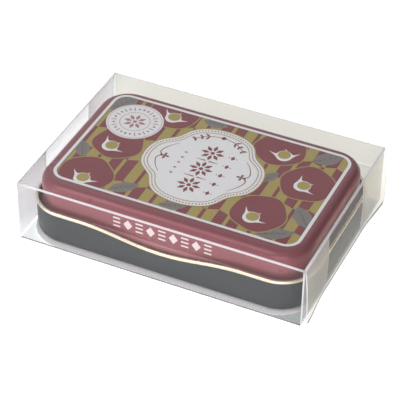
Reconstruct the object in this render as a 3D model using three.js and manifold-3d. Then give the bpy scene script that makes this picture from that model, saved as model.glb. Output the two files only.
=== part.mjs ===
// Stamp ink pad: a hinged two-piece tin with an inked cloth pad, standing on a white card
// inside a clear folded-film box. Millimetres, +Z up, +X to the right, the front faces -Y.
// The origin is the middle of the box's underside.
import * as THREE from 'three';
import { mergeVertices } from 'three/addons/utils/BufferGeometryUtils.js';
import Module from 'manifold-3d';

const wasm = await Module();
wasm.setup();

// Clear box
const BOX_HALF_LENGTH = 50.3;
const BOX_HALF_DEPTH = 35.4;
const BOX_HEIGHT = 23;
const FILM = 0.2;
const COVER_FOLD_Z = 13.4; // the level at which the cover folds back on the rear panel
const FOLD_GAP = 0.3;
const COVER_FOOT_Z = 0.3; // the cover's lower edges stand this far above the table
const GLUE_FLAP_DEPTH = 7;
const TONGUE_DEPTH = 11;
const TONGUE_HALF_WIDTH = 21;
const DUST_FLAP_DEPTH = 19.8;
const DUST_FLAP_X = 50.5; // inner face at its crease
const DUST_FLAP_INSET = 0.3; // between its crease and the outside of the box
const DUST_FLAP_BULGE = 0.5;
const DUST_FLAP_FOOT_Z = 0.9;
const DUST_FLAP_HEAD_Z = 22.4;
const CLOSURE_X = 50.8; // inner face at the top crease
const CLOSURE_MIDDLE_BULGE = 0.9;
const CLOSURE_EDGE_BULGE = 1.25;
const CLOSURE_EDGE_CURVE = 2.5; // exponent: the higher, the sooner the edge swings out
const CLOSURE_HEAD_Z = 22.7;

// Card under the tin
const CARD_THICKNESS = 0.3;
const CARD_HALF_LENGTH = 50;
const CARD_HALF_DEPTH = 35;
const CARD_RADIUS = 12.9;

// Tin base
const TIN_Y = -1.1; // the tin lies against the front of its box
const RIM_HALF_LENGTH = 50.3; // outer edge of the curled rim
const RIM_HALF_DEPTH = 32.9;
const RIM_CORNER = 13;
const RIM_WIRE = 0.65; // radius of the curl
const RIM_Z = 12.9;
const RIM_DIP = 2.9; // the thumb dip in the middle of the front
const RIM_DIP_HALF_WIDTH = 29;
const WALL_INSET = 0.45; // the wall lies this far inside the curl
const SHEET = 0.4;
const BASE_EDGE_RADIUS = 2;
const HAIRLINE = 0.1;

// Tin lid
const LID_HALF_LENGTH = 47.8;
const LID_HALF_DEPTH = 30.4;
const LID_CORNER = 10.5;
const LID_TOP_Z = 22.3;
const LID_WALL_TOP_Z = 19.2;
const LID_SKIRT_Z = 8.7;
const LID_RIB_Z = 12.2;
const LID_RIB = 0.25;
const SHOULDER = 3.1; // the wall rounds over into the flat top across this width
const HEM = 0.5;
const HEM_HEIGHT = 0.8;

// Hinge
const PIN_RADIUS = 0.62;
const KNUCKLE_RADIUS = 1.15;
const KNUCKLE_BORE = 0.7;
const KNUCKLE_WIDTH = 6;
const KNUCKLE_PITCH = 6.3;
const HINGE_NOTCH_HALF_WIDTH = 16;
const HINGE_NOTCH_Z = 11.5;
const HINGE_NOTCH_REACH = 3; // the notch clears this far in front of, behind and above the pin
const BASE_LEAF = 4.5; // length of a leaf below the pin
const LID_LEAF = 3.4; // length of a leaf above the pin

// Pad and what holds it
const TRAY_GAP = 0.5; // between the tray's flange and the base wall
const TRAY_WALL = 1;
const TRAY_TOP_Z = 8.3;
const POCKET_HALF_LENGTH = 42.2;
const POCKET_HALF_DEPTH = 24.5;
const POCKET_CORNER = 5;
const CLOTH_GAP = 0.5;
const CLOTH = 0.5;
const CLOTH_TUCK = 3; // the cloth's lower edge lies this far above the tin's floor
const CLOTH_EDGE_Z = 9.6;
const CLOTH_EDGE_INSET = 4;
const CLOTH_CROWN_Z = 10.4;
const CLOTH_CROWN_INSET = 8.5;
const FRAME_OUT = 1.6; // the frame reaches this far outside the pocket
const FRAME_LIP = 3.7; // and this far inside it
const FRAME_LIP_Z = 9.9;
const FRAME_TOP_Z = 10.6;

// Places worked out from the sizes above
const TIN_PLACE = [0, TIN_Y, 0];
const CARD_Z = 2 * FILM;
const TIN_Z = CARD_Z + CARD_THICKNESS;
const FLOOR_TOP_Z = TIN_Z + SHEET;
const BASE = {
  halfX: RIM_HALF_LENGTH - WALL_INSET,
  halfY: RIM_HALF_DEPTH - WALL_INSET,
  corner: RIM_CORNER - WALL_INSET,
};
const RIM = { halfX: RIM_HALF_LENGTH, halfY: RIM_HALF_DEPTH, corner: RIM_CORNER };
const LID = { halfX: LID_HALF_LENGTH, halfY: LID_HALF_DEPTH, corner: LID_CORNER };
const POCKET = { halfX: POCKET_HALF_LENGTH, halfY: POCKET_HALF_DEPTH, corner: POCKET_CORNER };
const PIN_Y = RIM_HALF_DEPTH - RIM_WIRE;
const PIN_Z = RIM_Z;

const CORNER_STEPS = 6;
const FRONT_STEPS = 14;
const EDGE_STEPS = 3;
const CURL_STEPS = 8;
const SHOULDER_STEPS = [6, 4]; // outside, inside
const CLOSURE_STEPS = [10, 7]; // along Y, along Z
const DUST_FLAP_STEPS = [2, 6];
const KNUCKLE_STEPS = 12;
const SMALLEST_CORNER = 0.3;
const WELD = 1e-5; // vertices closer than this are one

const material = (color, roughness, metalness, extra = {}) =>
  new THREE.MeshStandardMaterial({ color, roughness, metalness, ...extra });
const CLEAR_FILM = material(0xeef0f2, 0.12, 0, { transparent: true, opacity: 0.3 });
const WHITE_CARD = material(0xf4f4f2, 0.8, 0);
const RED_ENAMEL = material(0x8a3b48, 0.35, 0.4);
const GREY_ENAMEL = material(0x505654, 0.5, 0.3);
const GOLD_LACQUER = material(0xdcbf86, 0.3, 0.9);
const STEEL = material(0xb9bcc0, 0.3, 1);
const TRAY_PLASTIC = material(0x2b2b2d, 0.5, 0);
const FELT = material(0x6d2331, 0.95, 0);
const INK_CLOTH = material(0x7d1f33, 0.85, 0);

// Outline of a rounded rectangle, counter-clockwise from the front-left corner. The front edge
// is divided so that a dip can follow it.
function outline({ halfX, halfY, corner }, inset) {
  const x = halfX - inset;
  const y = halfY - inset;
  const r = Math.max(corner - inset, SMALLEST_CORNER);
  const points = [];
  const addCorner = (signX, signY, startAngle) => {
    for (let i = 0; i <= CORNER_STEPS; i += 1) {
      const angle = startAngle + (i / CORNER_STEPS) * (Math.PI / 2);
      points.push([signX * (x - r) + r * Math.cos(angle), signY * (y - r) + r * Math.sin(angle)]);
    }
  };
  addCorner(-1, -1, Math.PI);
  for (let i = 1; i < FRONT_STEPS; i += 1) {
    points.push([(x - r) * ((2 * i) / FRONT_STEPS - 1), -y]);
  }
  addCorner(1, -1, -Math.PI / 2);
  addCorner(1, 1, 0);
  addCorner(-1, 1, Math.PI / 2);
  return points;
}

// How deep the front edge dips at x, from 0 at the ends of the dip to 1 in its middle.
function dip(x, y) {
  const far = Math.abs(x) >= RIM_DIP_HALF_WIDTH;
  return far || y > 0 ? 0 : (1 + Math.cos((Math.PI * x) / RIM_DIP_HALF_WIDTH)) / 2;
}

// Solid swept by a profile that goes round a rounded rectangle. Each profile point is
// [inset, z, share of the dip]. An open profile is closed by flat caps at its two ends.
function sweep(plan, profile, closed = false) {
  const positions = [];
  const faces = [];
  const loops = profile.map(([inset, z, sag = 0]) =>
    outline(plan, inset).map(([x, y]) => [x, y, z - sag * RIM_DIP * dip(x, y)]));
  const count = loops[0].length;
  loops.forEach((loop) => loop.forEach((point) => positions.push(...point)));
  const bands = closed ? loops.length : loops.length - 1;
  for (let k = 0; k < bands; k += 1) {
    const a = k * count;
    const b = ((k + 1) % loops.length) * count;
    for (let i = 0; i < count; i += 1) {
      const j = (i + 1) % count;
      faces.push(a + i, a + j, b + j, a + i, b + j, b + i);
    }
  }
  if (!closed) {
    const last = (loops.length - 1) * count;
    for (let i = 1; i < count - 1; i += 1) {
      faces.push(0, i + 1, i, last, last + i, last + i + 1);
    }
  }
  const geometry = new THREE.BufferGeometry();
  geometry.setAttribute('position', new THREE.Float32BufferAttribute(positions, 3));
  geometry.setIndex(faces);
  geometry.computeVertexNormals();
  return geometry;
}

// Quarter-round profile points from (inset0, z0) to (inset1, z1); the corner bulges along the
// first or the second of the two directions.
function quarter([inset0, z0], [inset1, z1], steps, insetFirst) {
  const points = [];
  for (let i = 0; i <= steps; i += 1) {
    const angle = (i / steps) * (Math.PI / 2);
    const early = Math.sin(angle);
    const late = 1 - Math.cos(angle);
    const [s, t] = insetFirst ? [early, late] : [late, early];
    points.push([inset0 + (inset1 - inset0) * s, z0 + (z1 - z0) * t]);
  }
  return points;
}

function welded(geometry) {
  const clean = geometry.clone();
  clean.deleteAttribute('normal');
  clean.deleteAttribute('uv');
  return mergeVertices(clean, WELD);
}

function solid(geometry) {
  const shape = welded(geometry);
  return new wasm.Manifold(new wasm.Mesh({
    numProp: 3,
    vertProperties: Float32Array.from(shape.attributes.position.array),
    triVerts: Uint32Array.from(shape.index.array),
  }));
}

function cut(geometry, tool) {
  const mesh = solid(geometry).subtract(solid(tool)).getMesh();
  const result = new THREE.BufferGeometry();
  result.setAttribute('position', new THREE.BufferAttribute(mesh.vertProperties, 3));
  result.setIndex(new THREE.BufferAttribute(mesh.triVerts, 1));
  result.computeVertexNormals();
  return result;
}

// Box between two corners, divided along Y and Z when it is to be bent.
function block([x0, y0, z0], [x1, y1, z1], stepsY = 1, stepsZ = 1) {
  const geometry = new THREE.BoxGeometry(x1 - x0, y1 - y0, z1 - z0, 1, stepsY, stepsZ);
  return geometry.translate((x0 + x1) / 2, (y0 + y1) / 2, (z0 + z1) / 2);
}

const group = new THREE.Group();

function add(name, geometry, look, place = [0, 0, 0]) {
  const mesh = new THREE.Mesh(geometry, look);
  mesh.name = name;
  mesh.position.set(...place);
  group.add(mesh);
}

// ---- Clear box: the parts that lie under and behind the tin ----
function addBoxFloor() {
  const [x, y] = [BOX_HALF_LENGTH, BOX_HALF_DEPTH];
  add('bottom_panel', block([-x, -y, 0], [x, y, FILM]), CLEAR_FILM);
  const back = block([-x, y - FILM, FILM], [x, y, COVER_FOLD_Z - FOLD_GAP]);
  add('back_lower_panel', back, CLEAR_FILM);
  const flapFront = -y + FILM + FOLD_GAP;
  const flapBack = flapFront + GLUE_FLAP_DEPTH;
  const flapEnd = x - TONGUE_DEPTH - FOLD_GAP;
  add('glue_flap', block([-flapEnd, flapFront, FILM], [flapEnd, flapBack, CARD_Z]), CLEAR_FILM);
  const w = TONGUE_HALF_WIDTH;
  add('left_tuck_tongue', block([-x, -w, FILM], [-x + TONGUE_DEPTH, w, CARD_Z]), CLEAR_FILM);
  add('right_tuck_tongue', block([x - TONGUE_DEPTH, -w, FILM], [x, w, CARD_Z]), CLEAR_FILM);
}

// ---- Clear box: the cover that folds back, with its dust flaps ----
function addCover() {
  const [x, y, top] = [BOX_HALF_LENGTH, BOX_HALF_DEPTH, BOX_HEIGHT - FILM];
  add('top_panel', block([-x, -y, top], [x, y, BOX_HEIGHT]), CLEAR_FILM);
  add('front_panel', block([-x, -y, COVER_FOOT_Z], [x, -y + FILM, top]), CLEAR_FILM);
  const foldEdge = COVER_FOLD_Z + HAIRLINE;
  add('back_upper_panel', block([-x, y - FILM, foldEdge], [x, y, top]), CLEAR_FILM);
  for (const [end, signX] of [['left', -1], ['right', 1]]) {
    for (const [side, signY] of [['front', -1], ['back', 1]]) {
      add(`${side}_${end}_dust_flap`, dustFlap(signX, signY), CLEAR_FILM);
    }
  }
}

// Share of the height below the top crease, 0 to 1.
const drop = (z) => (BOX_HEIGHT - z) / BOX_HEIGHT;

// Moves each vertex outwards along X by what bulge(y, z) says, then mirrors the left-hand ones.
function bend(geometry, signX, bulge) {
  const position = geometry.attributes.position;
  for (let i = 0; i < position.count; i += 1) {
    const shift = bulge(position.getY(i), position.getZ(i));
    position.setX(i, position.getX(i) + shift);
  }
  if (signX < 0) geometry.rotateZ(Math.PI);
  geometry.computeVertexNormals();
  return geometry;
}

// A dust flap hangs on the front or back panel's end crease and leans out past the tin's rim.
function dustFlap(signX, signY) {
  const crease = BOX_HALF_DEPTH - DUST_FLAP_INSET;
  const edge = crease - DUST_FLAP_DEPTH;
  const side = signX * signY; // the left-hand flaps are turned half a turn
  const [y0, y1] = side > 0 ? [edge, crease] : [-crease, -edge];
  const start = [DUST_FLAP_X, y0, DUST_FLAP_FOOT_Z];
  const sheet = block(start, [DUST_FLAP_X + FILM, y1, DUST_FLAP_HEAD_Z], ...DUST_FLAP_STEPS);
  return bend(sheet, signX, (y, z) => {
    const reach = (crease - Math.abs(y)) / DUST_FLAP_DEPTH;
    return DUST_FLAP_BULGE * reach * Math.sin(Math.PI * drop(z));
  });
}

// ---- End closures: hung on the top panel's end creases, outside the dust flaps ----
function closure(signX) {
  const half = BOX_HALF_DEPTH - FILM;
  const start = [CLOSURE_X, -half, COVER_FOOT_Z];
  const sheet = block(start, [CLOSURE_X + FILM, half, CLOSURE_HEAD_Z], ...CLOSURE_STEPS);
  return bend(sheet, signX, (y, z) => {
    const flare = THREE.MathUtils.smoothstep(Math.abs(y), half / 2, half);
    const middle = CLOSURE_MIDDLE_BULGE * Math.sin(Math.PI * drop(z));
    const edge = CLOSURE_EDGE_BULGE * (1 - (1 - drop(z)) ** CLOSURE_EDGE_CURVE);
    return middle * (1 - flare) + edge * flare;
  });
}

// ---- Card ----
function addCard() {
  const card = { halfX: CARD_HALF_LENGTH, halfY: CARD_HALF_DEPTH, corner: CARD_RADIUS };
  add('insert_card', sweep(card, [[0, CARD_Z], [0, TIN_Z]]), WHITE_CARD);
}

// ---- Tin base ----
function hingeNotch() {
  const x = HINGE_NOTCH_HALF_WIDTH;
  const reach = HINGE_NOTCH_REACH;
  return block([-x, PIN_Y - reach, HINGE_NOTCH_Z], [x, PIN_Y + reach, PIN_Z + reach]);
}

function addBase() {
  const r = BASE_EDGE_RADIUS;
  const top = RIM_Z - RIM_WIRE - HAIRLINE;
  const outer = quarter([r, TIN_Z], [0, TIN_Z + r], EDGE_STEPS, true);
  const inner = quarter([SHEET, TIN_Z + r], [r, FLOOR_TOP_Z], EDGE_STEPS, false);
  const shell = sweep(BASE, [...outer, [0, top, 1], [SHEET, top, 1], ...inner]);
  add('base_shell', cut(shell, hingeNotch()), GREY_ENAMEL, TIN_PLACE);
  const curl = [];
  for (let i = 0; i < CURL_STEPS; i += 1) {
    const angle = (i / CURL_STEPS) * 2 * Math.PI;
    curl.push([RIM_WIRE * (1 - Math.cos(angle)), RIM_Z + RIM_WIRE * Math.sin(angle), 1]);
  }
  add('base_rim', cut(sweep(RIM, curl, true), hingeNotch()), GOLD_LACQUER, TIN_PLACE);
}

// ---- Tin lid ----
function addLid() {
  const [outSteps, inSteps] = SHOULDER_STEPS;
  const outside = quarter([0, LID_WALL_TOP_Z], [SHOULDER, LID_TOP_Z], outSteps, false);
  const inside = quarter([SHEET, LID_WALL_TOP_Z], [SHOULDER, LID_TOP_Z - SHEET], inSteps, false);
  const profile = [...inside.reverse(), [SHEET, LID_SKIRT_Z], [0, LID_SKIRT_Z], ...outside];
  add('lid_shell', sweep(LID, profile), RED_ENAMEL, TIN_PLACE);
  const rib = [[0, LID_RIB_Z - LID_RIB], [-LID_RIB, LID_RIB_Z], [0, LID_RIB_Z + LID_RIB]];
  add('lid_rib', sweep(LID, rib, true), RED_ENAMEL, TIN_PLACE);
  const hemTop = LID_SKIRT_Z + HEM_HEIGHT;
  const hemIn = SHEET + HEM;
  const hem = [[SHEET, LID_SKIRT_Z], [SHEET, hemTop], [hemIn, hemTop], [hemIn, LID_SKIRT_Z]];
  add('lid_hem', sweep(LID, hem, true), STEEL, TIN_PLACE);
}

// ---- Hinge: five knuckles on one pin ----
// Extrudes a shape drawn in the Y-Z plane along X, centred on x = 0.
function alongX(shape, length) {
  const geometry = new THREE.ExtrudeGeometry(shape, {
    depth: length, bevelEnabled: false, curveSegments: KNUCKLE_STEPS,
  });
  const basis = new THREE.Matrix4().makeBasis(
    new THREE.Vector3(0, 1, 0), new THREE.Vector3(0, 0, 1), new THREE.Vector3(1, 0, 0));
  return geometry.applyMatrix4(basis).translate(-length / 2, 0, 0);
}

function bored(shape) {
  const bore = new THREE.Path();
  bore.absarc(0, 0, KNUCKLE_BORE, 0, 2 * Math.PI, true);
  shape.holes.push(bore);
  return shape;
}

// The base leaf runs down the outside of the rear wall.
function baseKnuckle() {
  const near = PIN_Y - BASE.halfY;
  const left = -near;
  const right = left + SHEET;
  const start = -Math.acos(right / KNUCKLE_RADIUS);
  const end = 2 * Math.PI - Math.acos(left / KNUCKLE_RADIUS);
  const shape = new THREE.Shape();
  shape.absarc(0, 0, KNUCKLE_RADIUS, start, end, false);
  shape.lineTo(left, -BASE_LEAF);
  shape.lineTo(right, -BASE_LEAF);
  return bored(shape);
}

// The lid leaf reaches forward to the lid's rear wall and runs up it.
function lidKnuckle() {
  const wall = LID_HALF_DEPTH - PIN_Y;
  const reach = SHEET / KNUCKLE_RADIUS;
  const shape = new THREE.Shape();
  shape.absarc(0, 0, KNUCKLE_RADIUS, Math.PI + reach, 3 * Math.PI - reach, false);
  shape.lineTo(wall + SHEET, SHEET);
  shape.lineTo(wall + SHEET, LID_LEAF);
  shape.lineTo(wall, LID_LEAF);
  shape.lineTo(wall, -SHEET);
  return bored(shape);
}

function addHinge() {
  const y = PIN_Y + TIN_Y;
  const names = ['left', 'middle', 'right'];
  names.forEach((name, i) => {
    const x = (i - 1) * 2 * KNUCKLE_PITCH;
    add(`base_knuckle_${name}`, alongX(baseKnuckle(), KNUCKLE_WIDTH), STEEL, [x, y, PIN_Z]);
  });
  for (const [name, x] of [['left', -KNUCKLE_PITCH], ['right', KNUCKLE_PITCH]]) {
    add(`lid_knuckle_${name}`, alongX(lidKnuckle(), KNUCKLE_WIDTH), STEEL, [x, y, PIN_Z]);
  }
  const length = 4 * KNUCKLE_PITCH + KNUCKLE_WIDTH;
  const pin = new THREE.CylinderGeometry(PIN_RADIUS, PIN_RADIUS, length, KNUCKLE_STEPS);
  add('hinge_pin', pin.rotateZ(Math.PI / 2), STEEL, [0, y, PIN_Z]);
}

// ---- Tray, felt, cloth and frame ----
function addPad() {
  const w = TRAY_WALL;
  const flange = BASE.halfX - SHEET - TRAY_GAP - POCKET.halfX;
  const pocket = sweep(POCKET, [
    [0, FLOOR_TOP_Z], [-w, FLOOR_TOP_Z + w], [-w, TRAY_TOP_Z - w], [-flange, TRAY_TOP_Z - w],
    [-flange, TRAY_TOP_Z], [0, TRAY_TOP_Z], [0, FLOOR_TOP_Z + w],
  ]);
  add('pad_tray', pocket, TRAY_PLASTIC, TIN_PLACE);
  const feltGap = CLOTH_GAP + CLOTH + HAIRLINE;
  const felt = [[feltGap, FLOOR_TOP_Z + w], [feltGap, CLOTH_EDGE_Z - CLOTH - HAIRLINE]];
  add('felt_core', sweep(POCKET, felt), FELT, TIN_PLACE);
  const tuckZ = FLOOR_TOP_Z + CLOTH_TUCK;
  const cloth = [
    [CLOTH_GAP + CLOTH, CLOTH_EDGE_Z - CLOTH], [CLOTH_GAP + CLOTH, tuckZ], [CLOTH_GAP, tuckZ],
    [CLOTH_GAP, CLOTH_EDGE_Z], [CLOTH_EDGE_INSET, CLOTH_EDGE_Z], [CLOTH_CROWN_INSET, CLOTH_CROWN_Z],
  ];
  add('ink_cloth', sweep(POCKET, cloth), INK_CLOTH, TIN_PLACE);
  const frame = [
    [0, TRAY_TOP_Z], [-FRAME_OUT, TRAY_TOP_Z], [-FRAME_OUT, FRAME_TOP_Z], [FRAME_LIP, FRAME_TOP_Z],
    [FRAME_LIP, FRAME_LIP_Z], [0, FRAME_LIP_Z],
  ];
  add('pad_frame', sweep(POCKET, frame, true), TRAY_PLASTIC, TIN_PLACE);
}

addBoxFloor();
addCover();
add('left_closure', closure(-1), CLEAR_FILM);
add('right_closure', closure(1), CLEAR_FILM);
addCard();
addBase();
addLid();
addHinge();
addPad();

export default group;
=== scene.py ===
"""Looks of the boxed stamp pad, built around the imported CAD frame. Lengths in the helpers are mm."""

import math
import random

import bmesh
import bpy
from mathutils import Matrix, Vector
from mathutils.geometry import tessellate_polygon


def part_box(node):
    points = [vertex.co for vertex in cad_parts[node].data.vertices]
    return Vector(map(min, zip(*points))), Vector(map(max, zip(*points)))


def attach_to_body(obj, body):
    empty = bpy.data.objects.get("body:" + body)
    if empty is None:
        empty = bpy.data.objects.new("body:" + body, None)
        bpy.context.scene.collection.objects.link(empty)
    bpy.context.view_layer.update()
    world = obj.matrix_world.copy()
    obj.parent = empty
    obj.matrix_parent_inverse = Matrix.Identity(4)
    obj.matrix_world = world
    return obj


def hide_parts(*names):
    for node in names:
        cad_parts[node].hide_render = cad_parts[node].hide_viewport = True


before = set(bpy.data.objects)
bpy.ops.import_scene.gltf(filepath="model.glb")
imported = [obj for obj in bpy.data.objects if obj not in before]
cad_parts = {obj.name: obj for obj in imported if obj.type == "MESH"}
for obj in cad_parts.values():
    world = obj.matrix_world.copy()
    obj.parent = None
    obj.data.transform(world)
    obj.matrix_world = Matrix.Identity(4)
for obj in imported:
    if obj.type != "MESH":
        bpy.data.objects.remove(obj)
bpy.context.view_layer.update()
random.seed(11)
MM = 0.001

# ---------------------------------------------------------------- camera, light, floor

# Direction, distance (m) and framing of the photograph's viewpoint.
AZIMUTH, ELEVATION, ROLL = (math.radians(a) for a in (24.4293, 38.5979, 0.8473))
DISTANCE = 0.611199
SHIFT_RIGHT, SHIFT_UP = -0.000884, 0.006304
LENS, SENSOR = 162.753, 36
# Each lamp: name, place, target, size and power.
LAMPS = (
    ("key", (-0.35, -0.4, 0.75), (0, 0, 0), (0.5, 0.5), 1.8),
    ("fill_front", (0.25, -0.8, 0.35), (0, 0, 0.01), (0.7, 0.35), 2.7),
    ("fill_left", (-0.6, -0.7, 0.3), (-0.03, 0, 0.01), (0.5, 0.35), 1.1),
    ("back_top", (-0.4, 0.7, 0.6), (0, 0, 0), (0.6, 0.4), 0.5),
)
# The room is bright on the left, in front and above, and dark low down behind on the right.
DARK_SIDE = (0.62, 0.6, -0.5)
BRIGHT_ROOM, DARK_ROOM = 0.66, 0.05
FLOOR_HALF, FLOOR_DROP, FLOOR_GLOW = 3, 0.00002, 0.68


def make_camera():
    """Camera that looks at the object the way the photograph does."""
    back = Vector((
        math.sin(AZIMUTH) * math.cos(ELEVATION),
        -math.cos(AZIMUTH) * math.cos(ELEVATION),
        math.sin(ELEVATION),
    ))
    right = Vector((0, 0, 1)).cross(back).normalized()
    up = back.cross(right)
    rolled_right = math.cos(ROLL) * right + math.sin(ROLL) * up
    rolled_up = math.cos(ROLL) * up - math.sin(ROLL) * right
    place = SHIFT_RIGHT * rolled_right + SHIFT_UP * rolled_up + DISTANCE * back
    turn = Matrix((rolled_right, rolled_up, back)).transposed().to_4x4()
    data = bpy.data.cameras.new("camera")
    data.lens = LENS
    data.sensor_width = SENSOR
    data.clip_start = 0.01
    camera = bpy.data.objects.new("camera", data)
    camera.matrix_world = Matrix.Translation(place) @ turn
    bpy.context.scene.collection.objects.link(camera)
    bpy.context.scene.camera = camera


def area_light(name, place, target, size, power):
    """Rectangular lamp at a place, turned towards its target."""
    data = bpy.data.lights.new(name, "AREA")
    data.shape = "RECTANGLE"
    data.size, data.size_y = size
    data.energy = power
    light = bpy.data.objects.new(name, data)
    light.location = place
    aim = Vector(target) - Vector(place)
    light.rotation_euler = aim.to_track_quat("-Z", "Y").to_euler()
    bpy.context.scene.collection.objects.link(light)


def make_studio():
    """Soft lamps in a plain room whose brightness changes evenly from one side to the other."""
    world = bpy.data.worlds.new("studio")
    bpy.context.scene.world = world
    world.use_nodes = True
    tree = world.node_tree
    background = tree.nodes["Background"]
    background.inputs["Color"].default_value = (1, 1, 1, 1)
    direction = tree.nodes.new("ShaderNodeTexCoord")
    along = tree.nodes.new("ShaderNodeVectorMath")
    along.operation = "DOT_PRODUCT"
    along.inputs[1].default_value = DARK_SIDE
    tree.links.new(direction.outputs["Generated"], along.inputs[0])
    level = remap(tree, along.outputs["Value"], BRIGHT_ROOM, DARK_ROOM, -0.6, 0.5)
    tree.links.new(level, background.inputs["Strength"])
    for lamp in LAMPS:
        area_light(*lamp)
    bpy.context.scene.view_settings.view_transform = "Standard"


def make_floor():
    """Plain floor, a hair below the underside of the box."""
    half = FLOOR_HALF
    verts = [(-half, -half, 0), (half, -half, 0), (half, half, 0), (-half, half, 0)]
    floor = mesh_object("floor", verts, [(0, 1, 2, 3)], [MAT["floor"]], scale=1)
    floor.location.z = -FLOOR_DROP


# ---------------------------------------------------------------- materials

MAT = {}


def node(tree, kind, **inputs):
    """New shader node with some of its inputs set."""
    made = tree.nodes.new(kind)
    for name, value in inputs.items():
        made.inputs[name].default_value = value
    return made


def blank(name):
    """New named material: its node tree and its plain shader."""
    material = bpy.data.materials.new(name)
    material.use_nodes = True
    MAT[name] = material
    return material.node_tree, material.node_tree.nodes["Principled BSDF"]


def noise(tree, scale, detail=3, stretch=(1, 1, 1)):
    """Noise in the piece's own frame, scale in cycles per metre."""
    place = tree.nodes.new("ShaderNodeTexCoord")
    mapping = node(tree, "ShaderNodeMapping", Scale=stretch)
    tree.links.new(place.outputs["Object"], mapping.inputs["Vector"])
    made = node(tree, "ShaderNodeTexNoise", Scale=scale, Detail=detail, Roughness=0.55)
    tree.links.new(mapping.outputs["Vector"], made.inputs["Vector"])
    return made.outputs["Fac"]


def remap(tree, value, low, high, start=0.3, end=0.7):
    """Turns a value that runs from start to end into one that runs from low to high."""
    made = node(tree, "ShaderNodeMapRange")
    for name, number in (("From Min", start), ("From Max", end), ("To Min", low), ("To Max", high)):
        made.inputs[name].default_value = number
    tree.links.new(value, made.inputs["Value"])
    return made.outputs["Result"]


def two_tone(tree, value, first, second):
    """Colour that changes from the first to the second as the value grows."""
    ramp = tree.nodes.new("ShaderNodeValToRGB")
    ramp.color_ramp.elements[0].position = 0.3
    ramp.color_ramp.elements[1].position = 0.7
    ramp.color_ramp.elements[0].color = (*first, 1)
    ramp.color_ramp.elements[1].color = (*second, 1)
    tree.links.new(value, ramp.inputs["Fac"])
    return ramp.outputs["Color"]


def bump(tree, shader, height, strength, distance):
    made = node(tree, "ShaderNodeBump", Strength=strength, Distance=distance)
    tree.links.new(height, made.inputs["Height"])
    tree.links.new(made.outputs["Normal"], shader.inputs["Normal"])


def shade(color, factor):
    return tuple(min(1, c * factor) for c in color)


def mix(tree, share, first, second):
    """Mixes two shaders. The second one's share is a number or a socket."""
    mixed = tree.nodes.new("ShaderNodeMixShader")
    if isinstance(share, float):
        mixed.inputs["Fac"].default_value = share
    else:
        tree.links.new(share, mixed.inputs["Fac"])
    tree.links.new(first.outputs[0], mixed.inputs[1])
    tree.links.new(second.outputs[0], mixed.inputs[2])
    return mixed


ROUGH_SPREAD, COAT_ROUGH = 0.06, 0.25


def surface(name, color, rough, grain, contrast, metal=0, coat=0, bump_scale=900, bump_depth=0.02,
            stretch=(1, 1, 1)):
    """Lacquer, print, metal or plastic: a fine colour grain, uneven roughness and a slight relief."""
    tree, shader = blank(name)
    tint = two_tone(tree, noise(tree, grain, 2, stretch), shade(color, 1 - contrast),
                    shade(color, 1 + contrast))
    tree.links.new(tint, shader.inputs["Base Color"])
    uneven = noise(tree, 160, 4, stretch)
    rougher = remap(tree, uneven, rough - ROUGH_SPREAD, rough + ROUGH_SPREAD)
    tree.links.new(rougher, shader.inputs["Roughness"])
    shader.inputs["Metallic"].default_value = metal
    shader.inputs["Coat Weight"].default_value = coat
    shader.inputs["Coat Roughness"].default_value = COAT_ROUGH
    bump(tree, shader, noise(tree, bump_scale, 3, stretch), 0.4, bump_depth * MM)


GLOSS_SQUARE, GLOSS_SLANT = 0.35, 3.5  # shares of a film's gloss, seen squarely and at a slant
SLANT_POWER = 4
HAZE_ROUGH, SHINE_ROUGH = 0.45, 0.1
WISPS = 0.1  # how much the haze of a film varies


def film(name, tint, haze, haze_color, gloss):
    """Clear film: tints what lies behind, scatters a little light both ways, shines at a slant."""
    tree, shader = blank(name)
    shader.inputs["Base Color"].default_value = (*haze_color, 1)
    shader.inputs["Roughness"].default_value = HAZE_ROUGH
    clear = node(tree, "ShaderNodeBsdfTransparent", Color=(*tint, 1))
    shine = node(tree, "ShaderNodeBsdfGlossy", Color=(1, 1, 1, 1), Roughness=SHINE_ROUGH)
    slant = node(tree, "ShaderNodeLayerWeight", Blend=0.5)
    power = tree.nodes.new("ShaderNodeMath")
    power.operation = "POWER"
    power.inputs[1].default_value = SLANT_POWER
    tree.links.new(slant.outputs["Facing"], power.inputs[0])
    share = remap(tree, power.outputs[0], gloss * GLOSS_SQUARE, gloss * GLOSS_SLANT, 0, 1)
    wisps = remap(tree, noise(tree, 60, 4, (1, 1, 3)), haze * (1 - WISPS), haze * (1 + WISPS))
    through = node(tree, "ShaderNodeBsdfTranslucent", Color=(*haze_color, 1))
    hazy = mix(tree, wisps, clear, mix(tree, 0.5, shader, through))
    glossy = mix(tree, share, hazy, shine)
    tree.links.new(glossy.outputs[0], tree.nodes["Material Output"].inputs["Surface"])


# Painted shadow in the bottom panel: where it turns from light to dark, and its tints at the left and
# right end.
FLOOR_FILM_SPAN = (-0.05, 0.05)
FLOOR_SHADOW_TINTS = ((0.8, 0.83, 0.84), (0.4, 0.43, 0.42))


def paint_floor_film_shadow():
    """Paints the bottom panel's tint darker towards the right end: a painted shadow on the floor seen
    through it.
    """
    tree = MAT["film_floor"].node_tree
    place = tree.nodes.new("ShaderNodeTexCoord")
    split = tree.nodes.new("ShaderNodeSeparateXYZ")
    tree.links.new(place.outputs["Object"], split.inputs[0])
    along = remap(tree, split.outputs["X"], 0, 1, *FLOOR_FILM_SPAN)
    tint = two_tone(tree, along, *FLOOR_SHADOW_TINTS)
    tree.links.new(tint, tree.nodes["Transparent BSDF"].inputs["Color"])


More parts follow.
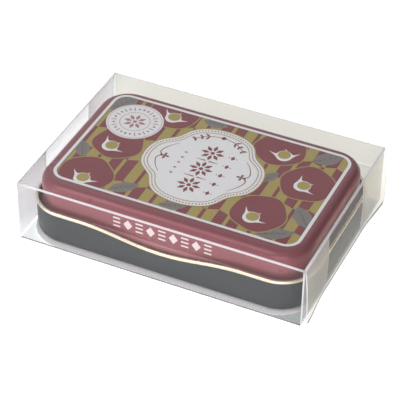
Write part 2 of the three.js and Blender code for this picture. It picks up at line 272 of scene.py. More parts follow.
def weave(name, first, second, threads):
    """Plain weave: two crossed waves make the threads, coloured and raised alike."""
    tree, shader = blank(name)
    place = tree.nodes.new("ShaderNodeTexCoord")
    waves = []
    for direction in ("X", "Y"):
        wave = node(tree, "ShaderNodeTexWave", Scale=threads, Distortion=0.6)
        wave.bands_direction = direction
        wave.inputs["Detail Scale"].default_value = 2
        tree.links.new(place.outputs["Object"], wave.inputs["Vector"])
        waves.append(wave.outputs["Fac"])
    cross = tree.nodes.new("ShaderNodeMath")
    cross.operation = "MAXIMUM"
    tree.links.new(waves[0], cross.inputs[0])
    tree.links.new(waves[1], cross.inputs[1])
    tree.links.new(two_tone(tree, cross.outputs[0], first, second), shader.inputs["Base Color"])
    rougher = remap(tree, noise(tree, 90, 3), 0.45, 0.75)
    tree.links.new(rougher, shader.inputs["Roughness"])
    shader.inputs["Sheen Weight"].default_value = 0.2
    bump(tree, shader, cross.outputs[0], 0.7, 0.08 * MM)


ENAMEL = {"bump_scale": 2500, "bump_depth": 0.0002}
# Each solid look: colour, roughness, scale and contrast of its grain, then what is special to it.
SURFACES = {
    "floor": ((0.93, 0.93, 0.93), 0.9, 40, 0.01, {"bump_depth": 0}),
    "lid_enamel": ((0.245, 0.052, 0.07), 0.32, 1800, 0.07, {"metal": 0.3, "coat": 0.25, **ENAMEL}),
    # The lid's enamel painted paler for the band below the rib: a painted reflection of the bright rim.
    "skirt_painted_rim_reflection": ((0.6, 0.25, 0.27), 0.4, 1800, 0.05, {"metal": 0.1, "coat": 0.25, **ENAMEL}),
    "base_enamel": ((0.008, 0.014, 0.017), 0.5, 1500, 0.1, {"metal": 0.2, "coat": 0.1, **ENAMEL}),
    "gold_lacquer": ((0.92, 0.82, 0.64), 0.27, 1200, 0.05, {"metal": 1, "bump_depth": 0.005}),
    "steel": ((0.62, 0.62, 0.64), 0.33, 900, 0.12, {"metal": 1, "stretch": (0.15, 1, 1)}),
    "tray_plastic": ((0.03, 0.03, 0.032), 0.5, 1500, 0.15, {"bump_depth": 0.04}),
    "white_card": ((0.93, 0.91, 0.95), 0.65, 1400, 0.02, {"bump_depth": 0.03}),
    "felt": ((0.16, 0.02, 0.04), 0.95, 1600, 0.3, {"bump_depth": 0.3}),
}
# Each printing ink: colour, roughness, share of metal and contrast of its grain.
INKS = {
    "print_maroon": ((0.225, 0.029, 0.044), 0.42, 0.1, 0.12),
    "print_gold": ((0.42, 0.33, 0.085), 0.4, 0.25, 0.14),
    "print_grey": ((0.22, 0.2, 0.185), 0.45, 0.1, 0.12),
    "print_vein": ((0.12, 0.1, 0.1), 0.45, 0.1, 0.12),
    "print_white": ((0.87, 0.87, 0.9), 0.4, 0.05, 0.05),
    "print_rose": ((0.42, 0.19, 0.22), 0.42, 0.1, 0.12),
    "ornament_pink": ((0.75, 0.63, 0.65), 0.4, 0.1, 0.05),
}
INK_GRAIN = 3000
# Each film: tint of what lies behind it, share and colour of its haze, and gloss.
FILMS = {
    "film": ((0.95, 0.945, 0.94), 0.04, (0.8, 0.8, 0.82), 0.08),
    "film_back": ((0.66, 0.655, 0.6), 0.05, (0.75, 0.75, 0.72), 0.09),
    "film_floor": (FLOOR_SHADOW_TINTS[1], 0.05, (0.4, 0.45, 0.46), 0.09),
    # Dark film for the strips along the lower edges: a painted contact shadow.
    "film_foot": ((0.42, 0.44, 0.43), 0.55, (0.1, 0.11, 0.11), 0.05),
    # The two end closures are one film: the left one gets more and paler haze as painted light from the
    # bright side of the room, the right one less and warmer haze.
    "film_left": ((0.85, 0.85, 0.87), 0.13, (0.86, 0.86, 0.9), 0.15),
    "film_right": ((0.81, 0.79, 0.71), 0.04, (0.84, 0.81, 0.75), 0.1),
    "film_flap": ((0.88, 0.87, 0.86), 0.4, (0.9, 0.87, 0.95), 0.15),
    # Creases and cut edges are painted whiter and more opaque: painted highlights.
    "film_crease": ((0.95, 0.95, 0.96), 0.85, (0.98, 0.97, 1.0), 0.3),
    "film_edge": ((0.9, 0.91, 0.9), 0.8, (0.98, 0.97, 1.0), 0.3),
}
DRY_THREAD, WET_THREAD, THREADS = (0.22, 0.02, 0.045), (0.1, 0.008, 0.02), 320


def make_materials():
    """Makes every look. The floor also glows a little, so that it stays white round the object."""
    for name, (*values, special) in SURFACES.items():
        surface(name, *values, **special)
    floor = MAT["floor"].node_tree.nodes["Principled BSDF"]
    floor.inputs["Emission Color"].default_value = (1, 1, 1, 1)
    floor.inputs["Emission Strength"].default_value = FLOOR_GLOW
    for name, (color, rough, metal, contrast) in INKS.items():
        surface(name, color, rough, INK_GRAIN, contrast, metal)
    for name, values in FILMS.items():
        film(name, *values)
    paint_floor_film_shadow()
    weave("ink_cloth", WET_THREAD, DRY_THREAD, THREADS)


# ---------------------------------------------------------------- mesh helpers

WELD = 1e-7


def mesh_object(name, verts, faces, materials, index=None, sharp=35, scale=MM):
    """Mesh with smooth shading, and hard edges where it turns by more than sharp degrees."""
    mesh = bpy.data.meshes.new(name)
    mesh.from_pydata([[c * scale for c in v] for v in verts], [], faces)
    for material in materials:
        mesh.materials.append(material)
    if index:
        mesh.polygons.foreach_set("material_index", index)
    made = bpy.data.objects.new(name, mesh)
    bpy.context.scene.collection.objects.link(made)
    work = bmesh.new()
    work.from_mesh(mesh)
    bmesh.ops.remove_doubles(work, verts=work.verts, dist=WELD)
    bmesh.ops.recalc_face_normals(work, faces=work.faces)
    for face in work.faces:
        face.smooth = True
    for edge in work.edges:
        turned = len(edge.link_faces) == 2 and edge.calc_face_angle(0) > math.radians(sharp)
        edge.smooth = not turned
    work.to_mesh(mesh)
    work.free()
    return made


def box_mm(name):
    """Lowest and highest corner of a CAD node, in mm."""
    return [[c / MM for c in corner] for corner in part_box(name)]


def plan_of(name, corner):
    """Half length, half depth and corner radius of a CAD node seen from above."""
    low, high = box_mm(name)
    return ((high[0] - low[0]) / 2, (high[1] - low[1]) / 2, corner)


def in_tin(verts):
    """Moves vertices from the tin's own middle to where the tin stands in its box."""
    return [(x, y + TIN_Y, z) for x, y, z in verts]


def attach(made, body, slot, *nodes):
    """Hands a finished piece to its CAD body, and hides the CAD nodes that it stands for."""
    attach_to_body(made, body)
    if nodes:
        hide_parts(*nodes)
    return made


def outline(plan, inset, corner_steps=14, front_steps=44, extra=()):
    """Rounded rectangle (half x, half y, corner), counter-clockwise from the front-left corner."""
    x, y = plan[0] - inset, plan[1] - inset
    r = max(plan[2] - inset, 0.3)
    points = []

    def corner(sx, sy, start):
        for i in range(corner_steps + 1):
            a = start + i / corner_steps * math.pi / 2
            points.append((sx * (x - r) + r * math.cos(a), sy * (y - r) + r * math.sin(a)))

    corner(-1, -1, math.pi)
    points.extend(((x - r) * (2 * i / front_steps - 1), -y) for i in range(1, front_steps))
    corner(1, -1, -math.pi / 2)
    corner(1, 1, 0)
    points.extend((at, y) for at in extra)
    corner(-1, 1, math.pi / 2)
    return points


# Thumb dip in the front of the rim, and the notch behind the hinge.
DIP, DIP_HALF_WIDTH = 2.9, 29.0
NOTCH_HALF_WIDTH, NOTCH_Z = 16.0, 11.5


def dip(x, y):
    """How deep the rim sinks in the middle of the front."""
    if y > 0 or abs(x) >= DIP_HALF_WIDTH:
        return 0
    return DIP * (1 + math.cos(math.pi * x / DIP_HALF_WIDTH)) / 2


def sweep(plan, profile, closed=False, extra=(), lower=None):
    """Body of profile points (inset, z, share of the dip) swept round a rounded rectangle."""
    loops = []
    for inset, z, *sag in profile:
        share = sag[0] if sag else 0
        loop = [(x, y, z - share * dip(x, y)) for x, y in outline(plan, inset, extra=extra)]
        loops.append([lower(p, share) for p in loop] if lower else loop)
    count = len(loops[0])
    verts = [p for loop in loops for p in loop]
    faces = []
    for k in range(len(loops) if closed else len(loops) - 1):
        a, b = k * count, (k + 1) % len(loops) * count
        for i in range(count):
            j = (i + 1) % count
            faces.append((a + i, a + j, b + j, b + i))
    if not closed:
        faces.append(tuple(reversed(range(count))))
        faces.append(tuple(range((len(loops) - 1) * count, len(loops) * count)))
    return verts, faces


def arc(cx, cy, r, start, end, steps):
    """Points on an arc, angles in degrees."""
    turns = [math.radians(start + (end - start) * i / steps) for i in range(steps + 1)]
    return [(cx + r * math.cos(a), cy + r * math.sin(a)) for a in turns]


# ---------------------------------------------------------------- tin

# Sheet metal and rim wire, and the bevel of the base's upper edge, which lies a little below the bead.
SHEET, WIRE = 0.4, 0.65
BEAD_GAP, BASE_BEVEL = 0.12, 0.08
CLOTH_GAP, TRAY_GAP = 0.5, 0.5
RIM = plan_of("base_rim", 13.0)
BASE = plan_of("base_shell", 12.55)
LID = plan_of("lid_shell", 10.5)
CLOTH = plan_of("ink_cloth", 4.5)
POCKET = tuple(size + CLOTH_GAP for size in CLOTH)
TIN_Y = sum(corner[1] for corner in box_mm("lid_shell")) / 2
TIN_Z = box_mm("base_shell")[0][2]
RIM_Z = box_mm("base_rim")[1][2] - WIRE
SKIRT_Z, LID_TOP = (corner[2] for corner in box_mm("lid_shell"))
RIB_Z = sum(corner[2] for corner in box_mm("lid_rib")) / 2
SHOULDER = 3.1
BASE_ROUND = 2.0
EDGE_ROUND = 0.1  # how far a cut edge of sheet metal is rounded off
TRAY_FLOOR, FLANGE_TOP = (corner[2] for corner in box_mm("pad_tray"))
TRAY_WALL, TRAY_ROUND, FLANGE_ROUND = 1.0, 0.6, 0.15
FRAME_TOP = box_mm("pad_frame")[1][2]
FRAME_OUTSIDE = box_mm("pad_frame")[1][0] - POCKET[0]
FRAME_LIP, FRAME_UNDER, FRAME_ROUND, LIP_ROUND = 3.7, 9.9, 0.5, 0.35
CLOTH_TOP, CLOTH_CROWN, CROWN_WIDTH, CLOTH_RIPPLE = 9.6, 0.78, 8.5, 0.03
CLOTH_TUCK = (7.2, box_mm("ink_cloth")[0][2])  # heights of the cloth's pulled-down edge


def make_base():
    """Drawn base wall, lower in the thumb dip and cut down to a notch behind the hinge."""
    r, top = BASE_ROUND, RIM_Z - WIRE - BEAD_GAP
    outer = arc(r, TIN_Z + r, r, 270, 180, 8)
    inner = arc(r, TIN_Z + r, r - SHEET, 180, 270, 6)
    low, bevel = top - EDGE_ROUND, BASE_BEVEL
    lip = [(0, low, 1), (bevel, top, 1), (SHEET - bevel, top, 1), (SHEET, low, 1)]
    # Points close on both sides of the notch's ends make its walls upright.
    edge = NOTCH_HALF_WIDTH
    extra = (edge + 0.02, edge - 0.02, 8, 0, -8, 0.02 - edge, -0.02 - edge)

    def notch(point, share):
        x, y, z = point
        inside = share and y > 0 and abs(x) < NOTCH_HALF_WIDTH and y > BASE[1] - 1
        return (x, y, min(z, NOTCH_Z)) if inside else point

    verts, faces = sweep(BASE, [*outer, *lip, *inner], extra=extra, lower=notch)
    made = mesh_object("base_wall", in_tin(verts), faces, [MAT["base_enamel"]])
    attach(made, "base", "base_enamel", "base_shell")


def make_rim():
    """Curled gold rim: a round bead that starts and ends at the hinge gap."""
    gap = NOTCH_HALF_WIDTH
    plan = (RIM[0] - WIRE, RIM[1] - WIRE, RIM[2] - WIRE)
    loop = outline(plan, 0, 16, 60)
    rear = [i for i, p in enumerate(loop) if p[1] > 0 and p[0] < 0][0]
    path = [(-gap, plan[1]), *loop[rear:], *loop[:rear], (gap, plan[1])]
    verts, faces = [], []
    sides = 14
    for i, (x, y) in enumerate(path):
        ahead = Vector(path[min(i + 1, len(path) - 1)]) - Vector(path[max(i - 1, 0)])
        out = Vector((ahead.y, -ahead.x)).normalized()
        for k in range(sides):
            a = 2 * math.pi * k / sides
            reach = WIRE * math.cos(a)
            z = RIM_Z - dip(x, y) + WIRE * math.sin(a)
            verts.append((x + out.x * reach, y + out.y * reach, z))
    for i in range(len(path) - 1):
        for k in range(sides):
            j = (k + 1) % sides
            faces.append((i * sides + k, i * sides + j, (i + 1) * sides + j, (i + 1) * sides + k))
    faces.append(tuple(range(sides)))
    faces.append(tuple((len(path) - 1) * sides + k for k in reversed(range(sides))))
    made = mesh_object("base_rim_bead", in_tin(verts), faces, [MAT["gold_lacquer"]], sharp=50)
    attach(made, "base", "gold_lacquer", "base_rim")


def make_lid():
    """Pressed lid: a plain wall that rounds over into the flat top, paler below its rib: a painted
    reflection of the bright rim.
    """
    wall_top = LID_TOP - SHOULDER
    inside = arc(SHOULDER, wall_top, SHOULDER - SHEET, 90, 180, 8)
    r, low = EDGE_ROUND, SKIRT_Z + EDGE_ROUND
    edge = [(SHEET, low), (SHEET - r, SKIRT_Z), (r, SKIRT_Z), (0, low)]
    outside = arc(SHOULDER, wall_top, SHOULDER, 180, 90, 18)
    profile = [*inside, *edge, (0, RIB_Z), *outside, (SHOULDER + 0.5, LID_TOP)]
    verts, faces = sweep(LID, profile)
    per_band = len(verts) // len(profile)
    skirt = len(inside) + len(edge) - 1
    index = [1 if i // per_band == skirt else 0 for i in range(len(faces))]
    # The band from the skirt up to the rib takes the paler look, a painted reflection of the rim.
    looks = [MAT["lid_enamel"], MAT["skirt_painted_rim_reflection"]]
    made = mesh_object("lid_cover", in_tin(verts), faces, looks, index, sharp=60)
    attach(made, "lid", "lid_enamel", "lid_shell")


def make_pad():
    """Plastic tray with a flange, and the frame that holds the cloth down. Insets grow inwards."""
    w, floor, top, r = TRAY_WALL, TRAY_FLOOR, FLANGE_TOP, FLANGE_ROUND
    flange = BASE[0] - SHEET - TRAY_GAP - POCKET[0]
    profile = [
        (0, floor), *arc(TRAY_ROUND - w, floor + TRAY_ROUND, TRAY_ROUND, 270, 180, 4), (-w, top - w),
        (-flange, top - w), (-flange, top - r), (r - flange, top), (-r, top), (0, top - r),
        (0, floor + w),
    ]
    verts, faces = sweep(POCKET, profile)
    made = mesh_object("tray", in_tin(verts), faces, [MAT["tray_plastic"]])
    attach(made, "base", "tray_plastic", "pad_tray")
    profile = [
        (0, top), (-FRAME_OUTSIDE, top),
        *arc(FRAME_ROUND - FRAME_OUTSIDE, FRAME_TOP - FRAME_ROUND, FRAME_ROUND, 180, 90, 5),
        *arc(FRAME_LIP - LIP_ROUND, FRAME_TOP - LIP_ROUND, LIP_ROUND, 90, 0, 4),
        (FRAME_LIP, FRAME_UNDER), (0, FRAME_UNDER),
    ]
    verts, faces = sweep(POCKET, profile, True)
    made = mesh_object("tray_frame", in_tin(verts), faces, [MAT["tray_plastic"]])
    attach(made, "base", "tray_plastic", "pad_frame")


def make_cloth():
    """Ink-soaked cloth drawn tight over the felt: crowned, with a tucked edge under the frame."""
    half_x, half_y = CLOTH[:2]
    steps_x, steps_y = 84, 50
    verts = []
    for j in range(steps_y + 1):
        for i in range(steps_x + 1):
            u, v = 2 * i / steps_x - 1, 2 * j / steps_y - 1
            rim = min(1, min((1 - abs(u)) * half_x, (1 - abs(v)) * half_y) / CROWN_WIDTH)
            crown = rim * rim * (3 - 2 * rim)
            wave = math.sin(u * 23 + 2 * math.sin(v * 5)) * math.sin(v * 17)
            z = CLOTH_TOP + CLOTH_CROWN * crown + CLOTH_RIPPLE * wave * crown
            verts.append((u * half_x, v * half_y, z))
    row = steps_x + 1
    faces = [(j * row + i, j * row + i + 1, (j + 1) * row + i + 1, (j + 1) * row + i)
             for j in range(steps_y) for i in range(steps_x)]
    border = [(i, 0) for i in range(steps_x)] + [(steps_x, j) for j in range(steps_y)]
    border += [(i, steps_y) for i in range(steps_x, 0, -1)] + [(0, j) for j in range(steps_y, 0, -1)]
    start = len(verts)
    for level in CLOTH_TUCK:
        verts += [(verts[j * row + i][0], verts[j * row + i][1], level) for i, j in border]
    count = len(border)
    rings = [[j * row + i for i, j in border], list(range(start, start + count)),
             list(range(start + count, start + 2 * count))]
    for upper, lower in zip(rings, rings[1:]):
        faces += [(lower[k], lower[(k + 1) % count], upper[(k + 1) % count], upper[k])
                  for k in range(count)]
    faces.append(tuple(reversed(rings[2])))
    made = mesh_object("pad_cloth", in_tin(verts), faces, [MAT["ink_cloth"]])
    attach(made, "base", "ink_cloth", "ink_cloth")


# ---------------------------------------------------------------- printed artwork

# The printed field: its middle, its plan with the white stripe, and the stripe's width.
ART_Y = -0.4
BORDER = (44.0, 26.1, 5.2)
STRIPE = 1.1
INK_STEP = 0.012  # height from one layer of ink to the next


def art_edge(inset, corner_steps=8):
    """Outline of the printed field, this far inside the white stripe's outer edge."""
    return [(x, y + ART_Y) for x, y in outline(BORDER, inset, corner_steps, 1)]


class Layer:
    """Flat printed shapes of one ink, all in one mesh."""

    def __init__(self, name, ink, level):
        self.name, self.ink, self.z = name, ink, LID_TOP + INK_STEP * level
        self.verts, self.faces = [], []

    def fill(self, points, clip=True):
        """Adds a filled outline, cut off at the edge of the printed field unless told otherwise."""
        points = clipped(points) if clip else points
        if len(points) < 3:
            return
        start = len(self.verts)
        self.verts += [(x, y, self.z) for x, y in points]
        triangles = tessellate_polygon([[Vector((x, y, 0)) for x, y in points]])
        self.faces += [tuple(start + k for k in t) for t in triangles]

    def band(self, outer, inner):
        """Adds the strip between two outlines that have as many points as each other."""
        start, count = len(self.verts), len(outer)
        self.verts += [(x, y, self.z) for x, y in [*outer, *inner]]
        for i in range(count):
            j = (i + 1) % count
            self.faces.append((start + i, start + j, start + count + j, start + count + i))

    def build(self):
        """Makes the mesh, with all its faces looking up."""
        made = mesh_object(self.name, self.verts, self.faces, [MAT[self.ink]])
        attach(made, "lid", "lid_enamel")
        for face in made.data.polygons:
            if face.normal.z < 0:
                face.flip()


def clipped(points):
    """The part of a polygon that lies inside the printed field."""
    edge = art_edge(STRIPE, 6)
    kept = list(points)
    for a, b in zip(edge, edge[1:] + edge[:1]):
        if math.dist(a, b) < WELD / MM:
            continue
        side = [(b[0] - a[0]) * (p[1] - a[1]) - (b[1] - a[1]) * (p[0] - a[0]) for p in kept]
        result = []
        for i, point in enumerate(kept):
            before, was, now = kept[i - 1], side[i - 1], side[i]
            if (was >= 0) != (now >= 0):
                t = was / (was - now)
                result.append(tuple(before[k] + t * (point[k] - before[k]) for k in (0, 1)))
            if now >= 0:
                result.append(point)
        kept = result
        if not kept:
            break
    return kept


def ring_points(cx, cy, radius, steps=72):
    """Closed outline whose radius is a number or a function of the angle."""
    points = []
    for i in range(steps):
        a = 2 * math.pi * i / steps
        r = radius(a) if callable(radius) else radius
        points.append((cx + r * math.cos(a), cy + r * math.sin(a)))
    return points


def bar(x0, y0, x1, y1, width0, width1=None):
    """Straight stroke from one point to another, with its own width at each end."""
    width1 = width0 if width1 is None else width1
    dx, dy = x1 - x0, y1 - y0
    length = math.hypot(dx, dy)
    nx, ny = -dy / length / 2, dx / length / 2
    return [(x0 + nx * width0, y0 + ny * width0), (x0 - nx * width0, y0 - ny * width0),
            (x1 - nx * width1, y1 - ny * width1), (x1 + nx * width1, y1 + ny * width1)]


def leaf(cx, cy, length, width, angle, layer, veins):
    """Lens-shaped leaf with a wavy side and slanting veins."""
    c, s = math.cos(math.radians(angle)), math.sin(math.radians(angle))

    def at(u, v):
        return (cx + u * c - v * s, cy + u * s + v * c)

    half = length / 2
    top = [at(half * t, width / 2 * (1 - t * t) * (1 + 0.08 * math.sin(9 * t)))
           for t in (i / 10 - 1 for i in range(21))]
    bottom = [at(half * t, -width / 2 * (1 - t * t)) for t in (1 - i / 10 for i in range(21))]
    layer.fill([*top, *bottom[1:-1]])
    veins.fill(bar(*at(-half, 0), *at(half * 0.85, 0), 0.3, 0.1))
    for t in (-0.55, -0.2, 0.15, 0.45):
        reach = width * 0.36 * (1 - t * t)
        for side in (1, -1):
            veins.fill(bar(*at(half * t, 0), *at(half * (t + 0.22), side * reach), 0.22, 0.06))


# One side of a calyx, as turns in degrees from its thickest place and radii: crescent, horn, thin ring.
CALYX_SIDE = ((0, 3.5), (30, 3.35), (60, 3.05), (76, 3.2), (92, 3.9), (106, 5.5),
              (99, 3.7), (97, 2.85), (108, 2.5), (150, 2.35))
CALYX_SPIKE = ((170, 2.35), (177, 3.4), (181, 2.35))
CALYX_STEPS = 6
EYE_RADIUS, OUTLINE_WIDTH = 2.2, 0.4


def calyx(cx, cy, lean):
    """Crescent round an eye, with a horn at each end and a short spike across from its thick side."""
    knots = [*CALYX_SIDE, *CALYX_SPIKE, *((360 - turn, r) for turn, r in reversed(CALYX_SIDE))]
    points = []
    for (turn0, r0), (turn1, r1) in zip(knots, knots[1:]):
        for i in range(CALYX_STEPS):
            t = i / CALYX_STEPS
            a = lean + math.radians(turn0 + (turn1 - turn0) * t)
            r = r0 + (r1 - r0) * t
            points.append((cx + r * math.cos(a), cy + r * math.sin(a)))
    return points


def blossom(cx, cy, radius, turn, eye, layers):
    """Round, softly cornered blossom with a gold outline and a gold eye in a white calyx."""
    def petal(extra):
        def r(a):
            lobes = 0.03 * math.cos(5 * (a - turn)) + 0.02 * math.cos(3 * a + 2 * turn)
            return radius * (1 + lobes) + extra
        return r

    layers["outline"].fill(ring_points(cx, cy, petal(OUTLINE_WIDTH)))
    layers["petal"].fill(ring_points(cx, cy, petal(0)))
    ex, ey = cx + eye[0], cy + eye[1]
    layers["white"].fill(calyx(ex, ey, math.radians(eye[2])))
    layers["eye"].fill(ring_points(ex, ey, EYE_RADIUS, 40))


FEATHER_WIDTH, FEATHER_LENGTH, FEATHER_SLOPE = 8.65, 12.15, 0.36
SHAFT_HALF_WIDTH = 0.63
FIRST_SHAFT_X, FIRST_TIP_Y = 1.2, -20.05
COLUMNS, ROWS = range(-6, 6), range(-1, 4)
PRINT_WANDER = 0.2  # how unevenly the ends of the feathers are cut


def ground(gold, maroon):
    """Arrow-feather ground, in which vanes and shafts swap inks like the fields of a chessboard."""
    gold.fill(art_edge(STRIPE), clip=False)
    half = FEATHER_WIDTH / 2
    for column in COLUMNS:
        x = FIRST_SHAFT_X + FEATHER_WIDTH * column
        for row in ROWS:
            tip = FIRST_TIP_Y + FEATHER_LENGTH * row
            ends = []
            for reach in (-half, -SHAFT_HALF_WIDTH, SHAFT_HALF_WIDTH, half):
                uneven = random.uniform(-PRINT_WANDER, PRINT_WANDER)
                ends.append((reach, tip + FEATHER_SLOPE * abs(reach) + uneven))
            strips = (ends[0:2], ends[2:4]) if (column + row) % 2 else (ends[1:3],)
            for (left, y0), (right, y1) in strips:
                maroon.fill([(x + left, y0), (x + right, y1), (x + right, y1 + FEATHER_LENGTH),
                             (x + left, y0 + FEATHER_LENGTH)])


PANEL_X, PANEL_Y, PANEL_RADIUS = -0.15, -0.35, 21
# The panel's outline dips four times, this deep, this wide and this far from the long axis.
LOBE_DIP, LOBE_SPREAD, LOBE_TURN = 2.65, 16, 39
# Heights of the rosettes, dashes and small marks over the panel's middle.
ROSETTES, DASHES = (8.0, -1.3, -10.8), (3.4, -6.0)
RIGHT_MARKS, LEFT_MARKS = (8.2, 3.1, -2.0, -7.1, -12.2), (4.8, 1.8, -1.2, -4.2, -7.2)


def panel_radius(inset):
    """Four shallow lobes: the radius dips once in each quarter turn."""
    def r(a):
        turn = math.degrees(a) % 180
        turn = min(turn, 180 - turn)
        dent = LOBE_DIP * math.exp(-((turn - LOBE_TURN) / LOBE_SPREAD) ** 2)
        return PANEL_RADIUS - dent - inset
    return r


def cartouche(white, maroon, gold):
    """White panel in the middle: beaded and lined edge, twig, brackets, rosettes and small marks."""
    cx, cy = PANEL_X, PANEL_Y

    def edge(inset, steps=160):
        return ring_points(cx, cy, panel_radius(inset), steps)

    gold.band(edge(-0.35), edge(0.1))
    white.fill(edge(0), False)
    for x, y in edge(1.0, 116):
        maroon.fill(ring_points(x, y, 0.29, 8), False)
    gold.band(edge(1.95), edge(2.3))
    garland(maroon, cx, cy)
    for side in (-1, 1):
        bracket(maroon, cx, cy, side)
    for y in ROSETTES:
        rosette(maroon, cx, cy + y, 4.1)
    for y in DASHES:
        for side in (-1, 1):
            maroon.fill(bar(cx + side * 0.6, cy + y, cx + side * 4.0, cy + y, 0.55, 0.15), False)
    for y in RIGHT_MARKS:
        lozenge(maroon, cx + 7.3, cy + y, 1.15)
    for y in LEFT_MARKS:
        lozenge(maroon, cx - 8.2, cy + y, 0.6)


def lozenge(layer, cx, cy, size):
    """Small diamond with a dot on each side."""
    layer.fill([(cx, cy + size), (cx - 0.7 * size, cy), (cx, cy - size), (cx + 0.7 * size, cy)], False)
    for side in (-1, 1):
        layer.fill(ring_points(cx + side * 1.15 * size, cy, 0.2 * size, 10), False)


TWIG_RADIUS, TWIG_RISE, TWIG_WIDTH, LEAF_WIDTH = 11.45, 5.7, 0.3, 0.9
# Pairs of leaves on the right half of the twig: turn in degrees and length.
TWIG_LEAVES = ((42, 1.7), (55, 1.7), (66, 2.3))


def garland(layer, cx, cy):
    """Twig bent over the top of the panel, with pairs of leaves that point away from its middle."""
    def on_twig(a):
        return cx + TWIG_RADIUS * math.cos(a), cy + TWIG_RISE + TWIG_RADIUS * math.sin(a)

    at = [on_twig(math.radians(a)) for a in range(36, 145, 6)]
    for (x0, y0), (x1, y1) in zip(at, at[1:]):
        layer.fill(bar(x0, y0, x1, y1, TWIG_WIDTH), False)
    mirrored = [(180 - degrees, size) for degrees, size in reversed(TWIG_LEAVES)]
    for degrees, size in (*TWIG_LEAVES, *mirrored):
        away = -1 if degrees < 90 else 1
        a = math.radians(degrees)
        x, y = on_twig(a)
        for lean in (-50, 50):
            tip = a + math.radians(90 * away + lean)
            mx, my = x + 0.5 * size * math.cos(tip), y + 0.5 * size * math.sin(tip)
            tx, ty = x + size * math.cos(tip), y + size * math.sin(tip)
            layer.fill(bar(x, y, mx, my, 0.15, LEAF_WIDTH), False)
            layer.fill(bar(mx, my, tx, ty, LEAF_WIDTH, 0.05), False)
    layer.fill(ring_points(cx, cy + TWIG_RISE + TWIG_RADIUS, 0.85, 16), False)


BRACKET_X, BRACKET_HALF_LENGTH, BRACKET_BOW = 16.3, 8.4, 4.0
CUSP_DEPTH, CUSP_WIDTH = 1.2, 0.12
FLOWER_X, FLOWER_MID, FLOWER_REACH, FLOWER_WIDTH = 13.9, 1.1, 1.8, 0.95


def bracket(layer, cx, cy, side):
    """Curly bracket along one side of the panel, with a four-leaved flower at its cusp."""
    def curve(t):
        cusp = CUSP_DEPTH * math.exp(-(t / CUSP_WIDTH) ** 2)
        bow = BRACKET_X - BRACKET_BOW * abs(t) ** 2.2 - cusp
        return cx + side * bow, cy + BRACKET_HALF_LENGTH * t

    steps = [i / 16 - 1 for i in range(33)]
    for a, b in zip(steps, steps[1:]):
        layer.fill(bar(*curve(a), *curve(b), 0.42 - 0.25 * abs(a), 0.42 - 0.25 * abs(b)), False)
    x, y = cx + side * FLOWER_X, cy
    mid, tip = FLOWER_MID, FLOWER_REACH
    for a in (0, 90, 180, 270):
        c, s = math.cos(math.radians(a)), math.sin(math.radians(a))
        layer.fill(bar(x, y, x + mid * c, y + mid * s, 0.3, FLOWER_WIDTH), False)
        layer.fill(bar(x + mid * c, y + mid * s, x + tip * c, y + tip * s, FLOWER_WIDTH, 0.1), False)


def rosette(layer, cx, cy, size):
    """Eight plain petals round a dot. A petal's places and widths are shares of the rosette's size."""
    foot, mid, broad = 0.3 * size, 0.62 * size, 0.36 * size
    for i in range(8):
        a = math.pi * i / 4
        c, s = math.cos(a), math.sin(a)
        mx, my = cx + mid * c, cy + mid * s
        layer.fill(bar(cx + foot * c, cy + foot * s, mx, my, 0.06 * size, broad), False)
        layer.fill(bar(mx, my, cx + size * c, cy + size * s, broad, 0.04 * size), False)
    layer.fill(ring_points(cx, cy, 0.19 * size, 16), False)


MEDALLION_X, MEDALLION_Y, MEDALLION_RADIUS = -31.5, 12.4, 9.85
MARKS, MARK_RADIUS, DOT_EVERY = 28, 7.3, 7
# Half length, inner width and outer width of a long and of a short mark.
LONG_MARK, SHORT_MARK = (0.9, 0.45, 0.3), (0.5, 0.9, 0.4)


def medallion(white, rose):
    """Round white mark: two rings, dots and strokes between them, and a rosette inside."""
    cx, cy, r = MEDALLION_X, MEDALLION_Y, MEDALLION_RADIUS
    white.fill(ring_points(cx, cy, r, 96), False)
    rose.band(ring_points(cx, cy, r - 0.55, 96), ring_points(cx, cy, r - 0.7, 96))
    rose.band(ring_points(cx, cy, 5.3, 80), ring_points(cx, cy, 5.1, 80))
    for i, (x, y) in enumerate(ring_points(cx, cy, MARK_RADIUS, MARKS)):
        if i % DOT_EVERY == 0:
            rose.fill(ring_points(x, y, 0.5, 12), False)
            continue
        half, inner, outer = LONG_MARK if i % 2 else SHORT_MARK
        dx, dy = half * (x - cx) / MARK_RADIUS, half * (y - cy) / MARK_RADIUS
        rose.fill(bar(x - dx, y - dy, x + dx, y + dy, inner, outer), False)
    rosette(rose, cx, cy, 4.0)


# Each blossom: centre, radius and turn, then its eye's offset and the side the crescent leans to.
BLOSSOMS = (
    (-21.4, 22.6, 8.7, 0.4, (0.9, -1.9, 250)),
    (-31.0, -0.6, 8.6, 1.0, (-1.5, -2.3, 235)),
    (-33.2, -20.6, 9.3, 0.2, (0.2, -1.9, 255)),
    (19.4, 19.7, 8.9, 0.9, (2.3, -2.4, 285)),
    (34.6, 6.0, 9.0, 0.5, (-0.7, -1.3, 222)),
    (26.3, -14.6, 9.1, 1.2, (-1.1, -2.5, 240)),
)
# Each leaf: centre, length, width and slant.
LEAVES = (
    (-39.6, 20.6, 12, 7, 58), (-6.1, 23.4, 9, 4.8, 0), (35.6, 21.4, 11, 6.6, 38),
    (22.2, 4.2, 7.5, 3.8, 65), (39.8, -10.6, 11.5, 6, 128), (35, -21.8, 12.5, 5.4, 26),
    (-0.5, -23, 9.5, 4.4, 18), (-18.8, -21.4, 10.5, 5.2, 38), (-40.6, -8.6, 9.5, 5.2, 120),
)


